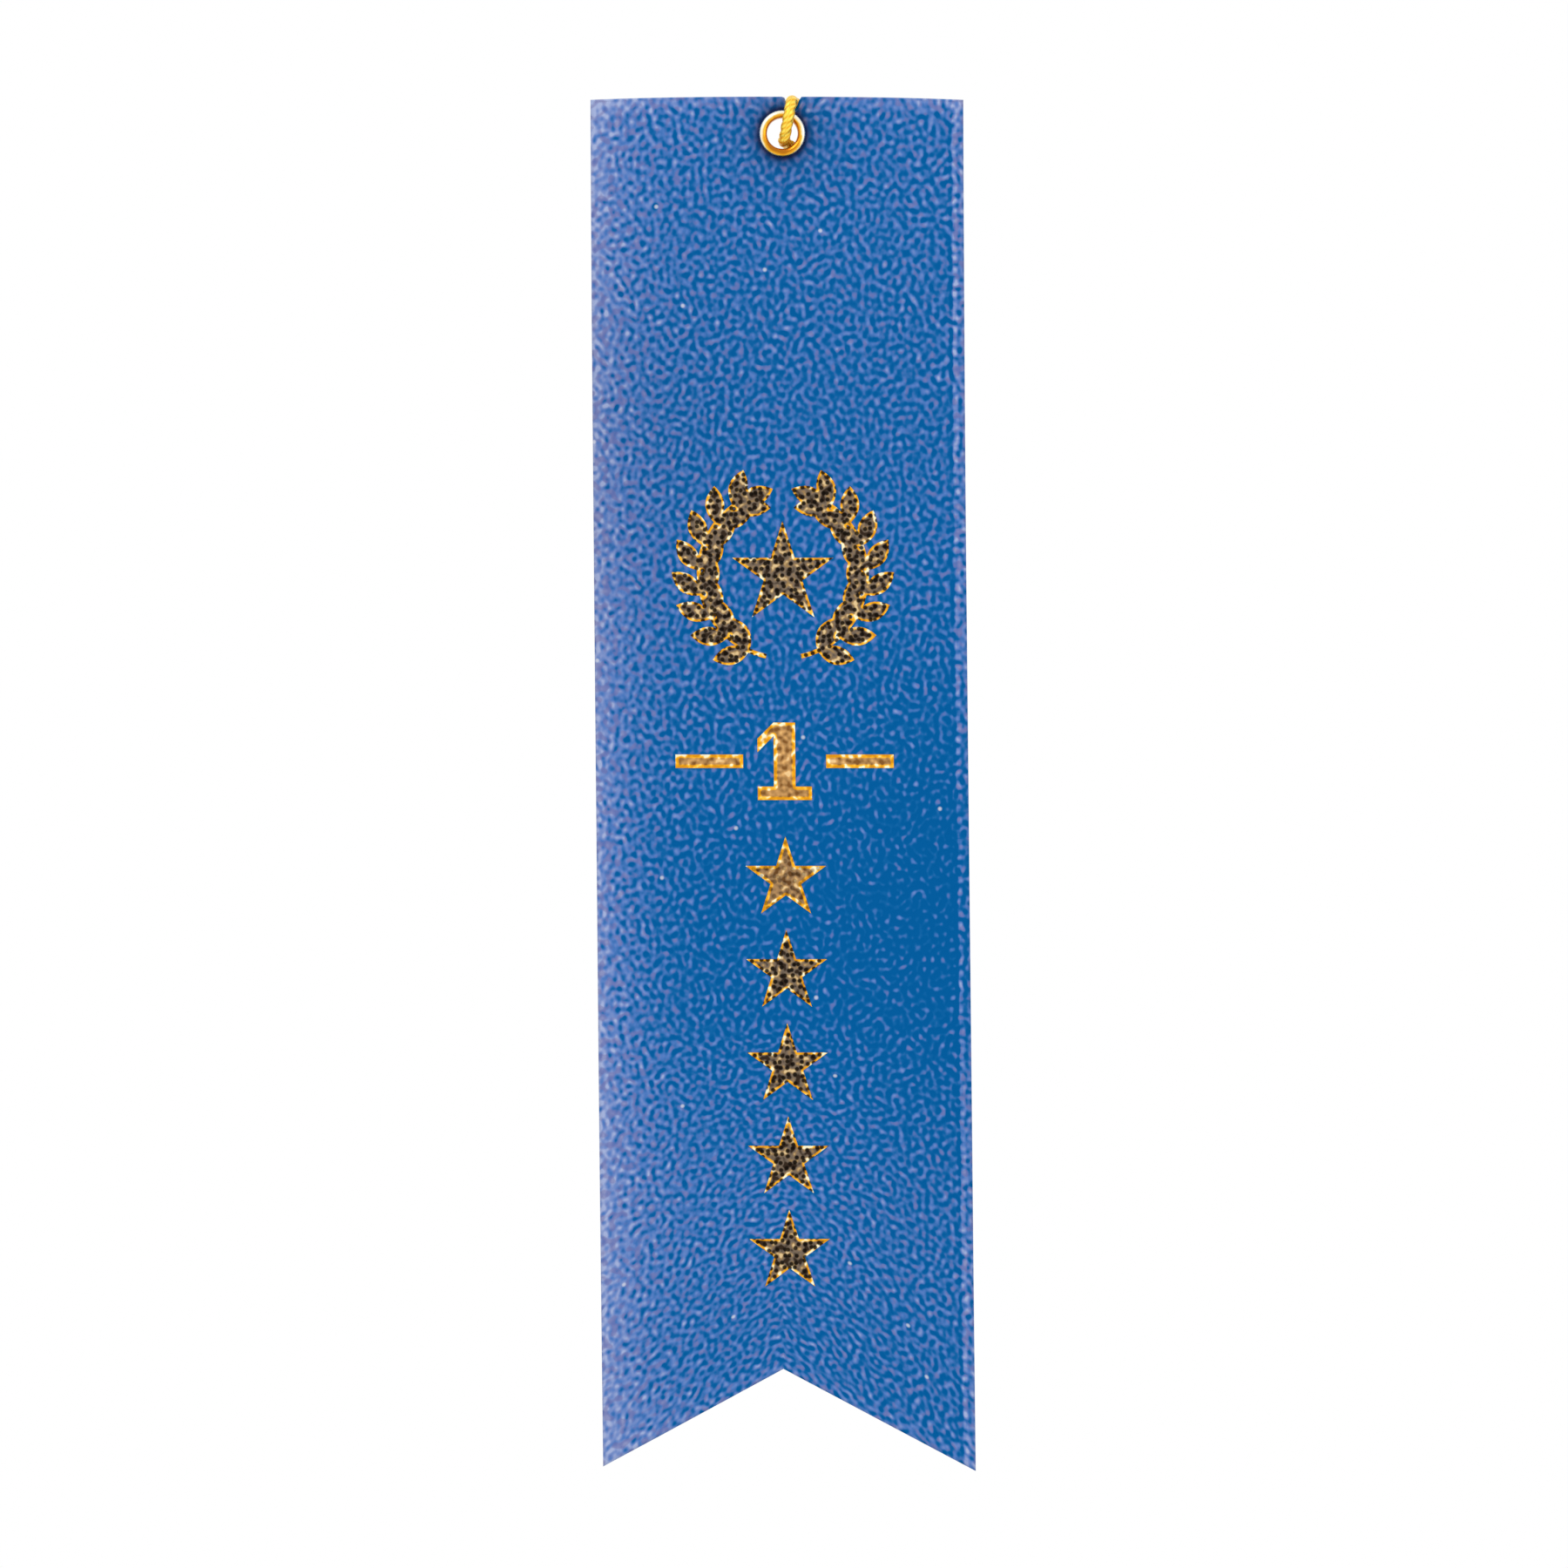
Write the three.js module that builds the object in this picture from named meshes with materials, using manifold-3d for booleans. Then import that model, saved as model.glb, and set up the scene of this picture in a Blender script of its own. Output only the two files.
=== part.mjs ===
// An award ribbon: a strip of satin with a folded top and a swallowtail foot, a brass eyelet
// through the fold, a gold cord knotted round the fold, and hot-stamped foil on the face.
// Millimetres, +Z up. The face looks towards -Y, and the origin is the eyelet's centre on it.
import * as THREE from "three";
import { mergeVertices } from "three/addons/utils/BufferGeometryUtils.js";
import Module from "manifold-3d";

// ---- the strip of satin ----
const LENGTH = 152.4; // from the fold to the longer tail
const WIDTH = 41.3;
const SATIN = 0.25; // one layer
const FOLD_GAP = 0.25; // between the two layers under the eyelet
const HEM = 12; // how far the fold comes down behind
const NOTCH_SLOPE = 28.3; // degrees of each edge of the swallowtail
const NOTCH_SIDE = -0.55; // the swallowtail's point, from the strip's centre line

// ---- the eyelet ----
const EYELET_DROP = 4.1; // its centre, below the fold
const EYELET_SIDE = 0.6; // its centre, to the right of the strip's centre line
const BORE = 1.7; // radius
const BARREL_WALL = 0.3;
const FLANGE_LIP = 0.6; // how far the rolled flange reaches past the barrel
const CLINCH_LIP = 0.45; // how far the clinched back does
const FLANGE_HEIGHT = 0.55;
const CLINCH_HEIGHT = 0.45;
const SEAT = 0.05; // between the metal and the satin
const HOLE_SLACK = 0.1; // between the barrel and the hole punched for it

// ---- the cord ----
const CORD = 1.3; // diameter
const CORD_SIDES = 8;
const KNOT = 1.6; // radius of the ball that the knot fills
const KNOT_AT = new THREE.Vector3(3.0, 3.05, 2.3);
const CROSSING = { side: 1.06, height: 3.82 }; // the cord's middle where it goes over the fold
const GROOVE_FLOOR_SLACK = 0.27; // under the cord, in the groove that it presses in the fold
const GROOVE_SIDE_SLACK = 0.4; // on each side of it
const TURN_STEPS = 16;
const LOOP_STEPS = 60;
// From the knot over the fold, down the face, through the eyelet and back up to the knot.
const TURN_ROUTE = [
  [1.85, 1.9, 3.3],
  [1.25, 1.25, 3.72],
  [CROSSING.side, 0.3, CROSSING.height],
  [0.97, -0.75, 3.4],
  [0.76, -1.4, 2.1],
  [0.5, -1.2, 0.8],
  [0.28, -0.45, -0.4],
  [0.16, 0.45, -0.8],
  [0.42, 1.7, -0.95],
  [1.4, 2.3, -1.4],
  [2.65, 2.15, -0.7],
  [3.0, 1.98, 0.4],
];
// From the knot down behind the ribbon, round the bottom of the loop and back to the knot.
const LOOP_ROUTE = [
  [2.4, 3.7, 0.48],
  [2.3, 3.95, -3],
  [2.1, 4.0, -10],
  [1.5, 3.8, -20],
  [0.9, 3.6, -32],
  [0.5, 3.5, -44],
  [0.3, 3.4, -56],
  [0.4, 3.4, -64],
  [1.2, 3.4, -69.5],
  [3.6, 3.4, -72.4],
  [6.1, 3.5, -69.8],
  [7.0, 3.6, -64],
  [7.0, 3.7, -56],
  [6.3, 3.9, -44],
  [5.5, 4.1, -32],
  [4.8, 4.2, -20],
  [4.1, 4.15, -10],
  [3.85, 3.95, -3],
  [3.75, 3.7, 0.48],
];

// ---- the foil ----
const FOIL = 0.06; // thickness
const PRINT_SIDE = -0.3; // centre line of the print, from the eyelet
const LINE = 0.5; // width of a drawn line
const EMBLEM_DROP = 48.8; // centre of the wreath, below the eyelet
const EMBLEM_STAR = 5.9; // radius to the points of the star in the wreath
const BRANCH_RADIUS = 9.3; // of each stem's curve
const BRANCH = { foot: -66, tip: 54, pairs: 8, lean: 38 }; // its angles, in degrees
const LEAF = { length: 4.2, width: 2.1 };
const NUMERAL_DROP = 73.85; // foot of the figure 1, below the eyelet
const NUMERAL_HEIGHT = 8.6;
const NUMERAL_POST = 2.4; // width of its upright stroke
const NUMERAL_FOOT = 6; // width of the bar that it stands on
const NUMERAL_BAR = 1.5; // height of that bar
const RULE = { length: 7.5, height: 1.5 }; // the bar on each side of the figure
const RULE_GAP = 1.6; // between a rule and the figure's foot
const COLUMN_DROP = 82.6; // centre of the first star of the column, below the eyelet
const COLUMN_PITCH = 10.33; // from one star to the next
const COLUMN_STARS = 5;
const COLUMN_STAR = 4.7; // radius to their points

const wasm = await Module();
wasm.setup();

const SATIN_BLUE = finish(0x1d6cb8, 0.45, 0.0);
const BRASS = finish(0xe0ab3a, 0.25, 1.0);
const GOLD_CORD = finish(0xe8b638, 0.4, 0.7);
const GOLD_FOIL = finish(0xb98a3c, 0.3, 1.0);

function finish(colour, roughness, metalness) {
  return new THREE.MeshStandardMaterial({ color: colour, roughness, metalness });
}

function named(name, geometry, material) {
  const mesh = new THREE.Mesh(geometry, material);
  mesh.name = name;
  return mesh;
}

// ---- solids: joining and cutting ----

function solidOf(geometry) {
  const bare = geometry.clone();
  bare.deleteAttribute("normal");
  bare.deleteAttribute("uv");
  const merged = mergeVertices(bare, 1e-4);
  const mesh = new wasm.Mesh({
    numProp: 3,
    vertProperties: merged.attributes.position.array,
    triVerts: new Uint32Array(merged.index.array),
  });
  return new wasm.Manifold(mesh);
}

function geometryOf(solid) {
  const mesh = solid.getMesh();
  const made = new THREE.BufferGeometry();
  made.setAttribute("position", new THREE.BufferAttribute(mesh.vertProperties, 3));
  made.setIndex(new THREE.BufferAttribute(mesh.triVerts, 1));
  const loose = made.toNonIndexed();
  loose.computeVertexNormals();
  return loose;
}

function joined(geometries) {
  return geometries.map(solidOf).reduce((whole, next) => whole.add(next));
}

// ---- the strip ----

// The strip's section across its width: up the front, over the fold and down the hem.
function stripSection(foot) {
  const top = EYELET_DROP;
  const outer = SATIN + FOLD_GAP / 2;
  const inner = FOLD_GAP / 2;
  const bend = top - outer;
  const shape = new THREE.Shape();
  shape.moveTo(0, foot);
  shape.lineTo(0, bend);
  shape.absarc(outer, bend, outer, Math.PI, 0, true);
  shape.lineTo(2 * outer, top - HEM);
  shape.lineTo(SATIN + FOLD_GAP, top - HEM);
  shape.absarc(outer, bend, inner, 0, Math.PI, false);
  shape.lineTo(SATIN, foot);
  shape.closePath();
  return shape;
}

// Places across the width where the section is repeated, close together under the cord.
function stations(left, right) {
  const under = [-1, -0.85, -0.7, -0.5, -0.25, 0, 0.25, 0.5, 0.7, 0.85, 1];
  const half = CORD / 2 + GROOVE_SIDE_SLACK;
  return [left, ...under.map((share) => CROSSING.side + share * half), right];
}

// How far the fold is pressed down at x: a groove with a flat floor and rounded shoulders.
function dentAt(x) {
  const floor = CROSSING.height - CORD / 2 - GROOVE_FLOOR_SLACK;
  const half = CORD / 2 + GROOVE_SIDE_SLACK;
  const share = Math.min(1, Math.abs(x - CROSSING.side) / half);
  return (EYELET_DROP - floor) * (1 - share ** 4) ** 2;
}

function foldedStrip(left, right, foot) {
  const places = stations(left, right);
  const steps = places.length - 1;
  const section = stripSection(foot);
  const options = { depth: 1, steps, bevelEnabled: false, curveSegments: 8 };
  const made = new THREE.ExtrudeGeometry(section, options);
  const point = made.attributes.position;
  const foldStart = EYELET_DROP - HEM / 4;
  for (let i = 0; i < point.count; i++) {
    const x = places[Math.round(point.getZ(i) * steps)];
    const y = point.getX(i);
    const z = point.getY(i);
    point.setXYZ(i, x, y, z > foldStart ? z - dentAt(x) : z);
  }
  return made;
}

function swallowtailCutter(notchX, notchZ, depth) {
  const reach = depth / Math.tan(THREE.MathUtils.degToRad(NOTCH_SLOPE));
  const shape = new THREE.Shape();
  shape.moveTo(notchX, notchZ);
  shape.lineTo(notchX - reach, notchZ - depth);
  shape.lineTo(notchX + reach, notchZ - depth);
  shape.closePath();
  const past = 2;
  const made = new THREE.ExtrudeGeometry(shape, { depth: 4 * past, bevelEnabled: false });
  return facing(made).translate(0, 2 * past, 0);
}

function ribbon() {
  const left = -EYELET_SIDE - WIDTH / 2;
  const right = left + WIDTH;
  const foot = EYELET_DROP - LENGTH;
  const slope = Math.tan(THREE.MathUtils.degToRad(NOTCH_SLOPE));
  const notchX = -EYELET_SIDE + NOTCH_SIDE;
  const notchZ = foot + (right - notchX) * slope;
  const spare = 1;
  const strip = solidOf(foldedStrip(left, right, foot - spare));
  const tails = swallowtailCutter(notchX, notchZ, 2 * (notchZ - foot));
  const holeRadius = BORE + BARREL_WALL + HOLE_SLACK;
  const punch = new THREE.CylinderGeometry(holeRadius, holeRadius, 8, 32);
  const cut = strip.subtract(solidOf(tails)).subtract(solidOf(punch));
  return named("ribbon", geometryOf(cut), SATIN_BLUE);
}

// ---- the eyelet: one turned section, from the bore over the flange to the clinched back ----

// Half an oval from the bore out to a radius, standing on a level.
function rim(radius, level, height, from, to) {
  const middle = (BORE + radius) / 2;
  const oval = new THREE.EllipseCurve(middle, level, radius - middle, height, from, to);
  return oval.getPoints(8);
}

function eyelet() {
  const barrel = BORE + BARREL_WALL;
  const back = 2 * SATIN + FOLD_GAP + SEAT;
  const front = rim(barrel + FLANGE_LIP, -SEAT, FLANGE_HEIGHT, Math.PI, 2 * Math.PI);
  const rear = rim(barrel + CLINCH_LIP, back, CLINCH_HEIGHT, 0, Math.PI);
  const seatFront = new THREE.Vector2(barrel, -SEAT);
  const seatBack = new THREE.Vector2(barrel, back);
  const profile = [...front, seatFront, seatBack, ...rear, front[0].clone()];
  return named("eyelet", new THREE.LatheGeometry(profile, 32), BRASS);
}

// ---- the cord ----

function tube(points, steps) {
  const route = points.map((p) => new THREE.Vector3(...p));
  const path = new THREE.CatmullRomCurve3(route, false, "catmullrom", 0.5);
  const corner = (k) => {
    const turn = (2 * Math.PI * k) / CORD_SIDES;
    return new THREE.Vector2(Math.cos(turn), Math.sin(turn)).multiplyScalar(CORD / 2);
  };
  const section = new THREE.Shape(Array.from({ length: CORD_SIDES }, (_, k) => corner(k)));
  const options = { steps, extrudePath: path, bevelEnabled: false };
  return new THREE.ExtrudeGeometry(section, options);
}

function cordTurn() {
  return named("cord_turn", tube(TURN_ROUTE, TURN_STEPS), GOLD_CORD);
}

function cordLoop() {
  return named("cord_loop", tube(LOOP_ROUTE, LOOP_STEPS), GOLD_CORD);
}

function cordKnot() {
  const ball = named("cord_knot", new THREE.SphereGeometry(KNOT, 20, 14), GOLD_CORD);
  ball.position.copy(KNOT_AT);
  return ball;
}

// ---- foil: outlines drawn flat, with x to the right and y up, then stood on the face ----

function outline(points) {
  return new THREE.Shape(points.map(([x, y]) => new THREE.Vector2(x, y)));
}

function pressed(shape) {
  const options = { depth: FOIL, bevelEnabled: false, curveSegments: 16 };
  return new THREE.ExtrudeGeometry(shape, options);
}

// Turns a drawing so that its up is +Z and its thickness comes off the face, towards -Y.
function facing(geometry) {
  return geometry.rotateX(Math.PI / 2);
}

function foil(name, solid, x, z) {
  const placed = facing(geometryOf(solid)).translate(x, 0, z);
  return named(name, placed, GOLD_FOIL);
}

function bar(x0, y0, x1, y1) {
  return pressed(outline([[x0, y0], [x1, y0], [x1, y1], [x0, y1]]));
}

// A line of even width along part of a circle.
function arcLine(radius, from, to) {
  const shape = new THREE.Shape();
  shape.absarc(0, 0, radius + LINE / 2, from, to, false);
  shape.absarc(0, 0, radius - LINE / 2, to, from, true);
  return new THREE.ExtrudeGeometry(shape, { depth: FOIL, bevelEnabled: false, curveSegments: 24 });
}

// ---- the print: a wreath with a star, a figure 1 between two rules, and a column of stars ----

function polar(radius, degrees) {
  const turn = THREE.MathUtils.degToRad(degrees);
  return [radius * Math.cos(turn), radius * Math.sin(turn)];
}

// A regular five-pointed star, in which each side runs on in the side of another point.
function star(tip) {
  const waist = (tip * (3 - Math.sqrt(5))) / 2;
  const corner = (k) => polar(k % 2 ? waist : tip, 90 - 36 * k);
  return pressed(outline(Array.from({ length: 10 }, (_, k) => corner(k)).reverse()));
}

function leaf() {
  const { length, width } = LEAF;
  const shape = new THREE.Shape();
  shape.moveTo(0, 0);
  shape.quadraticCurveTo(length / 2, -width, length, 0);
  shape.quadraticCurveTo(length / 2, width, 0, 0);
  return pressed(shape);
}

// Carries a leaf to a point on a stem of BRANCH_RADIUS and turns it to lie along heading.
function onStem(degrees, heading) {
  const [x, y] = polar(BRANCH_RADIUS, degrees);
  return leaf().rotateZ(THREE.MathUtils.degToRad(heading)).translate(x, y, 0);
}

// A stem with pairs of leaves that lean away from it, and one leaf at its tip. The stem runs on
// past both. side is 1 on the right and -1 on the left.
function branch(side) {
  const { foot, tip, pairs, lean } = BRANCH;
  const at = (degrees) => (side > 0 ? degrees : 180 - degrees);
  const ends = [at(foot - 12), at(tip + 6)].sort((a, b) => a - b);
  const stem = arcLine(BRANCH_RADIUS, ...ends.map(THREE.MathUtils.degToRad));
  const leaves = Array.from({ length: pairs }, (_, k) => {
    const place = at(foot + ((tip - foot) * k) / (pairs - 1));
    const ahead = place + side * 90;
    return [onStem(place, ahead - lean), onStem(place, ahead + lean)];
  }).flat();
  const end = at(tip + 4);
  return joined([stem, ...leaves, onStem(end, end + side * 100)]);
}

// A block figure 1: an upright post with a slanting flag, on a level foot.
function numeral() {
  const post = NUMERAL_POST / 2;
  const foot = NUMERAL_FOOT / 2;
  const top = NUMERAL_HEIGHT;
  const flag = 1.8; // its reach to the left, and its drop
  return pressed(outline([
    [-foot, 0],
    [foot, 0],
    [foot, NUMERAL_BAR],
    [post, NUMERAL_BAR],
    [post, top],
    [-post, top],
    [-post - flag, top - flag],
    [-post - flag, top - flag - NUMERAL_BAR],
    [-post, top - NUMERAL_BAR],
    [-post, NUMERAL_BAR],
    [-foot, NUMERAL_BAR],
  ]));
}

function emblem() {
  const drawn = {
    star: solidOf(star(EMBLEM_STAR)),
    branch_left: branch(-1),
    branch_right: branch(1),
  };
  return Object.entries(drawn).map(([name, solid]) =>
    foil(`foil_${name}`, solid, PRINT_SIDE, -EMBLEM_DROP),
  );
}

function rank() {
  const inner = NUMERAL_FOOT / 2 + RULE_GAP;
  const outer = inner + RULE.length;
  const low = (NUMERAL_HEIGHT - RULE.height) / 2;
  const high = low + RULE.height;
  const drawn = {
    numeral: numeral(),
    rule_left: bar(-outer, low, -inner, high),
    rule_right: bar(inner, low, outer, high),
  };
  return Object.entries(drawn).map(([name, geometry]) =>
    foil(`foil_${name}`, solidOf(geometry), PRINT_SIDE, -NUMERAL_DROP),
  );
}

function column() {
  return Array.from({ length: COLUMN_STARS }, (_, row) => {
    const z = -COLUMN_DROP - row * COLUMN_PITCH;
    return foil(`foil_star_${row + 1}`, solidOf(star(COLUMN_STAR)), PRINT_SIDE, z);
  });
}

const awardRibbon = new THREE.Group();
awardRibbon.add(ribbon(), eyelet(), cordTurn(), cordKnot(), cordLoop());
awardRibbon.add(...emblem(), ...rank(), ...column());

export default awardRibbon;
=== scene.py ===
# %% [markdown]
# # A first-place award ribbon
#
# The real thing is one strip of blue satin, folded over at the top, with a brass eyelet pressed
# through the fold, gold foil stamped on the face and a gold cord knotted through the eyelet.
# The imported model already holds every piece at its true size, so this script only gives the
# pieces their fine surface. It loads that model first and reads the strip's size from its box.

# %% Load the frame
import bpy
import numpy as np
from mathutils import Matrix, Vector, geometry


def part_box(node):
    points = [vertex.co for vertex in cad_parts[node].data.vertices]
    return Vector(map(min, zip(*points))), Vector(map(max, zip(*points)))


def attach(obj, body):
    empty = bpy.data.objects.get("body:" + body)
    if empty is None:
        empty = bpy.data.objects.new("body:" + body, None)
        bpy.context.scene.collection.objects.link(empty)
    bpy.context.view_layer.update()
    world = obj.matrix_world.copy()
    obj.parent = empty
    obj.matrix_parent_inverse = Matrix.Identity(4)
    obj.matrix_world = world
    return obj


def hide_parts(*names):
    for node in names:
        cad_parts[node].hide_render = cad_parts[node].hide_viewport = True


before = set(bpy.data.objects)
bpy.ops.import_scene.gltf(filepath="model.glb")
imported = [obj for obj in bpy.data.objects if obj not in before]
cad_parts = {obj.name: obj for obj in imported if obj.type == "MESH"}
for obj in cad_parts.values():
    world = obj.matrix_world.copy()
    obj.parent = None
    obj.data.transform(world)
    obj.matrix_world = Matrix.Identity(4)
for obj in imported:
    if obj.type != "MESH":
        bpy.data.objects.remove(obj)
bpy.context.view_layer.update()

# %% [markdown]
# ## Camera, light and floor
#
# A ribbon is so flat that a short lens would make its near end swell. A long lens from a metre
# away keeps its edges parallel. The camera looks straight at the face, level with the middle of
# the strip. The light is that of a plain white studio: a white world, which lights all sides
# alike, one large soft lamp above on the left to model the folds, and a weaker one on the right.

# %% Place the camera
MM = 0.001
VIEW_HEIGHT = 173.7 * MM
VIEW_MIDDLE = Vector((0.19, 0.0, -72.07)) * MM
CAMERA_DISTANCE = 1.0
SENSOR = 36.0

lens = bpy.data.cameras.new("long_lens")
lens.sensor_width = SENSOR
lens.lens = SENSOR * CAMERA_DISTANCE / VIEW_HEIGHT
camera = bpy.data.objects.new("camera", lens)
camera.location = VIEW_MIDDLE - Vector((0, CAMERA_DISTANCE, 0))
camera.rotation_euler = (np.pi / 2, 0, 0)
bpy.context.scene.collection.objects.link(camera)
bpy.context.scene.camera = camera
print("the lens is", round(lens.lens), "mm long")

# %% Light the studio
def linear(code):
    """An sRGB colour such as #1D6CB8 as linear red, green, blue and alpha."""
    parts = np.array([int(code[i : i + 2], 16) for i in (1, 3, 5)]) / 255
    low = parts / 12.92
    high = ((parts + 0.055) / 1.055) ** 2.4
    return (*np.where(parts <= 0.04045, low, high).tolist(), 1.0)


def soft_lamp(name, place, watts, size):
    """A square area lamp that points at the middle of the ribbon. Place and size are in metres."""
    data = bpy.data.lights.new(name, "AREA")
    data.energy = watts
    data.size = size
    lamp = bpy.data.objects.new(name, data)
    lamp.location = place
    lamp.rotation_euler = (VIEW_MIDDLE - lamp.location).to_track_quat("-Z", "Y").to_euler()
    bpy.context.scene.collection.objects.link(lamp)


world = bpy.data.worlds.new("white_studio")
world.use_nodes = True
world.node_tree.nodes["Background"].inputs["Color"].default_value = (1, 1, 1, 1)
world.node_tree.nodes["Background"].inputs["Strength"].default_value = 1.0
bpy.context.scene.world = world
# Plain sRGB, without the film-like curve that Blender starts with.
bpy.context.scene.view_settings.view_transform = "Standard"
soft_lamp("key_lamp", Vector((-0.45, -0.75, 0.55)), 2.4, 0.35)
soft_lamp("fill_lamp", Vector((0.7, -0.6, 0.05)), 0.7, 0.5)
print("two lamps and a white world")

# %% [markdown]
# ## Small helpers
#
# Every new piece below is a grid of points worked out with numpy. These helpers turn such a grid
# into a Blender mesh, and add a shader node together with its settings and links, so that each
# material reads as a short list.

# %% Make meshes and nodes
def grid_faces(rows, columns, around=False):
    """Quads of a rows by columns grid, numbered row by row. Around joins the last column to the
    first."""
    here = np.arange(rows * columns).reshape(rows, columns)
    right = np.roll(here, -1, axis=1)
    last = columns if around else columns - 1
    quads = [here[:-1, :last], right[:-1, :last], right[1:, :last], here[1:, :last]]
    return np.stack(quads, axis=-1).reshape(-1, 4)


def mesh_piece(name, points, faces, smooth=True):
    """An object at the origin with these points, in millimetres, and faces."""
    mesh = bpy.data.meshes.new(name)
    mesh.from_pydata((np.asarray(points) * MM).tolist(), [], [list(f) for f in faces])
    mesh.polygons.foreach_set("use_smooth", np.full(len(mesh.polygons), smooth))
    mesh.update()
    piece = bpy.data.objects.new(name, mesh)
    bpy.context.scene.collection.objects.link(piece)
    return piece


def point_value(piece, name, values):
    """Stores one number for each point of a piece, for its material to read."""
    layer = piece.data.attributes.new(name, "FLOAT", "POINT")
    layer.data.foreach_set("value", np.asarray(values, dtype=np.float32))


def uv_in_mm(piece, u, v):
    """A UV map whose unit is one millimetre on the surface."""
    corners = np.zeros(len(piece.data.loops), dtype=np.int32)
    piece.data.loops.foreach_get("vertex_index", corners)
    layer = piece.data.uv_layers.new(name="surface_mm")
    pairs = np.stack([np.asarray(u)[corners], np.asarray(v)[corners]], axis=1)
    layer.data.foreach_set("uv", pairs.astype(np.float32).ravel())


def add(tree, kind, inputs=None, stops=None, **settings):
    """Adds a shader node. inputs holds values or other nodes' outputs, stops a ramp's colours."""
    made = tree.nodes.new(kind)
    for name, value in settings.items():
        setattr(made, name, value)
    for socket, value in (inputs or {}).items():
        if isinstance(value, bpy.types.NodeSocket):
            tree.links.new(value, made.inputs[socket])
        else:
            made.inputs[socket].default_value = value
    if stops:
        elements = made.color_ramp.elements
        while len(elements) < len(stops):
            elements.new(1.0)
        for element, (place, code) in zip(elements, stops):
            element.position = place
            element.color = linear(code)
    return made


def new_material(name, **uniform):
    """A material with one Principled shader, whose uniform values go straight on its sockets."""
    material = bpy.data.materials.new(name)
    material.use_nodes = True
    tree = material.node_tree
    shader = tree.nodes["Principled BSDF"]
    for socket, value in uniform.items():
        shader.inputs[socket.replace("_", " ")].default_value = value
    return material, tree, shader


def smooth_step(low, high, x):
    """0 below low, 1 above high and a smooth S between them."""
    share = np.clip((x - low) / (high - low), 0, 1)
    return share * share * (3 - 2 * share)


print("helpers ready")

# %% [markdown]
# ## The cord
#
# The cord comes before the cloth, because its length and place are fixed by the design. It is a
# limp metallic string 1.3 mm thick. One stretch goes over the fold and through the eyelet, a knot
# closes it behind, and about 15 cm of it hangs down the back as a loop. The listed points of
# the design are joined by a smooth curve. The first four over the fold lie 0.1 to 0.22 mm lower
# here, because the cord beds into the cloth. A plain tube would look like wire, so the section
# has three lobes that turn as they go along, which is what twisted yarns do.

# %% Routes of the cord
CORD = 1.3  # mm across
LOOP_STEP = 0.16  # mm between the points of the smoothed loop
TURN_STEP = 0.12  # and of the smoothed turn
KNOT_AT = np.array([3.0, 3.05, 2.3])
TURN_ROUTE = [
    (1.85, 1.9, 3.2), (1.25, 1.25, 3.52), (1.06, 0.3, 3.6), (0.97, -0.75, 3.25),
    (0.76, -1.4, 2.1), (0.5, -1.2, 0.8), (0.28, -0.45, -0.4), (0.16, 0.45, -0.8),
    (0.42, 1.7, -0.95), (1.4, 2.3, -1.4), (2.65, 2.15, -0.7), (3.0, 1.98, 0.4),
]
LOOP_ROUTE = [
    (2.4, 3.7, 0.48), (2.3, 3.95, -3), (2.1, 4.0, -10), (1.5, 3.8, -20), (0.9, 3.6, -32),
    (0.5, 3.5, -44), (0.3, 3.4, -56), (0.4, 3.4, -64), (1.2, 3.4, -69.5), (3.6, 3.4, -72.4),
    (6.1, 3.5, -69.8), (7.0, 3.6, -64), (7.0, 3.7, -56), (6.3, 3.9, -44), (5.5, 4.1, -32),
    (4.8, 4.2, -20), (4.1, 4.15, -10), (3.85, 3.95, -3), (3.75, 3.7, 0.48),
]


def smooth_route(points, step):
    """A curve through points, each span a cubic whose end slopes are half the neighbours' gap."""
    p = np.asarray(points, dtype=float)
    p = np.vstack([2 * p[0] - p[1], p, 2 * p[-1] - p[-2]])
    u = np.linspace(0, 1, 24, endpoint=False)[None, :, None]
    a, b = p[1:-2, None], p[2:-1, None]
    slope_a = (b - p[:-3, None]) / 2
    slope_b = (p[3:, None] - a) / 2
    cubic = 2 * (a - b) + slope_a + slope_b
    square = 3 * (b - a) - 2 * slope_a - slope_b
    fine = (((cubic * u + square) * u + slope_a) * u + a).reshape(-1, 3)
    fine = np.vstack([fine, p[-2]])
    along = np.concatenate([[0], np.cumsum(np.linalg.norm(np.diff(fine, axis=0), axis=1))])
    even = np.linspace(0, along[-1], int(along[-1] / step) + 1)
    return np.stack([np.interp(even, along, fine[:, k]) for k in range(3)], axis=1)


def length_of(path):
    return float(np.linalg.norm(np.diff(path, axis=0), axis=1).sum())


into_knot = [KNOT_AT + (-0.35, 0.1, -0.3), KNOT_AT + (0.35, 0.1, -0.3)]
loop_path = smooth_route([into_knot[0], *LOOP_ROUTE, into_knot[1]], LOOP_STEP)
turn_path = smooth_route(
    [KNOT_AT + (-0.4, -0.3, 0.35), *TURN_ROUTE, KNOT_AT + (0.1, -0.3, -0.5)], TURN_STEP
)
print("the loop is", round(length_of(loop_path), 1), "mm and the turn", round(length_of(turn_path), 1))

# %% Twist the cord
PLIES = 3
TWIST_PITCH = 3.4  # mm along the cord for one whole turn of the yarns
AROUND = 30  # points round the section
LOBE_DEPTH = 0.2  # of the radius, between one yarn and the next


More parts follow.
